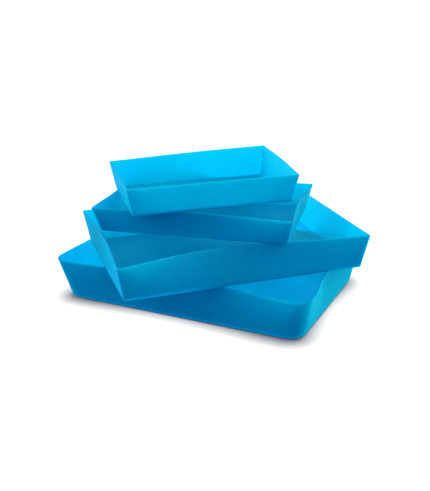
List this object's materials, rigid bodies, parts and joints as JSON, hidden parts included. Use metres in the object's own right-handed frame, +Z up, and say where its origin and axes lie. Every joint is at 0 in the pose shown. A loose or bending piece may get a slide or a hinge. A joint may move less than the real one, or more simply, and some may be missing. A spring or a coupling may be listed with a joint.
{
  "type": "silicone slab mould set",
  "caption": "Silicone slab soap moulds in falling sizes, stacked crosswise: plain rectangular trays with thin, leaning, flexible walls.",
  "frame": {"origin": "centre of the large mould's underside, on the surface the stack stands on", "axes": "+X along the large mould's length, +Y across it towards its back, +Z up out of the mouths"},
  "size_m": [0.3277, 0.3254, 0.1465],
  "materials": {
    "silicone": "soft matte translucent silicone"
  },
  "bodies": {
    "large": {"large_slab_mould": "silicone"},
    "medium": {"medium_slab_mould": "silicone"},
    "small": {"small_slab_mould": "silicone"},
    "mini": {"mini_slab_mould": "silicone"}
  },
  "joints": [
    {"name": "medium_lift", "type": "slide", "parent": "large", "child": "medium", "axis": [0, 0, 1], "range_m": [0, 0.12]},
    {"name": "small_lift", "type": "slide", "parent": "medium", "child": "small", "axis": [0, 0, 1], "range_m": [0, 0.12]},
    {"name": "mini_lift", "type": "slide", "parent": "small", "child": "mini", "axis": [0, 0, 1], "range_m": [0, 0.12]}
  ]
}
